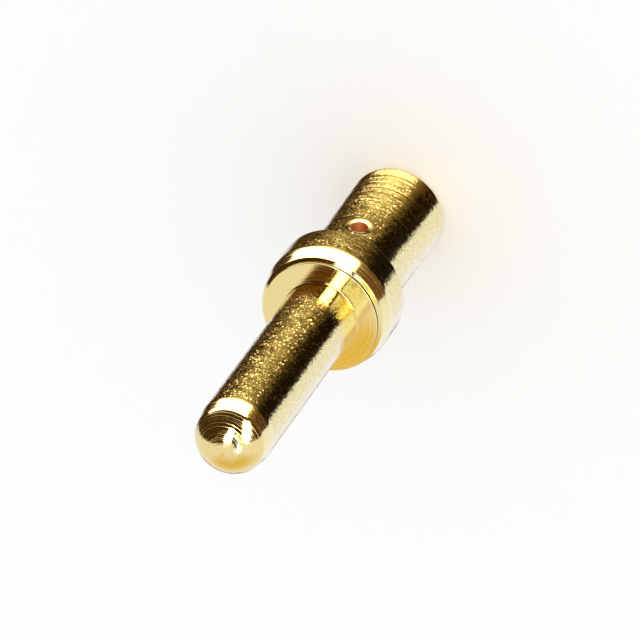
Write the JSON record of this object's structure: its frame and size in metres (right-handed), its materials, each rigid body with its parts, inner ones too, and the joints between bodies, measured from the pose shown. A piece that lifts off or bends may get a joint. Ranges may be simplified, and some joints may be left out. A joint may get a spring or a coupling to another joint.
{
  "type": "crimp pin contact",
  "caption": "Turned, gold-plated pin contact with a domed mating pin, a bevelled collar and a hollow crimp barrel that has a wire inspection hole.",
  "frame": {"origin": "centre of the crimp barrel's end face, which is also the centre of the bottom of the box", "axes": "+Z along the turning axis, from the barrel's end to the pin's tip; -Y towards the inspection hole"},
  "size_m": [0.0036, 0.0034, 0.0135],
  "materials": {
    "gold_plate": "turned, then gold plated"
  },
  "bodies": {
    "root": {"pin_contact": "gold_plate"}
  },
  "joints": []
}
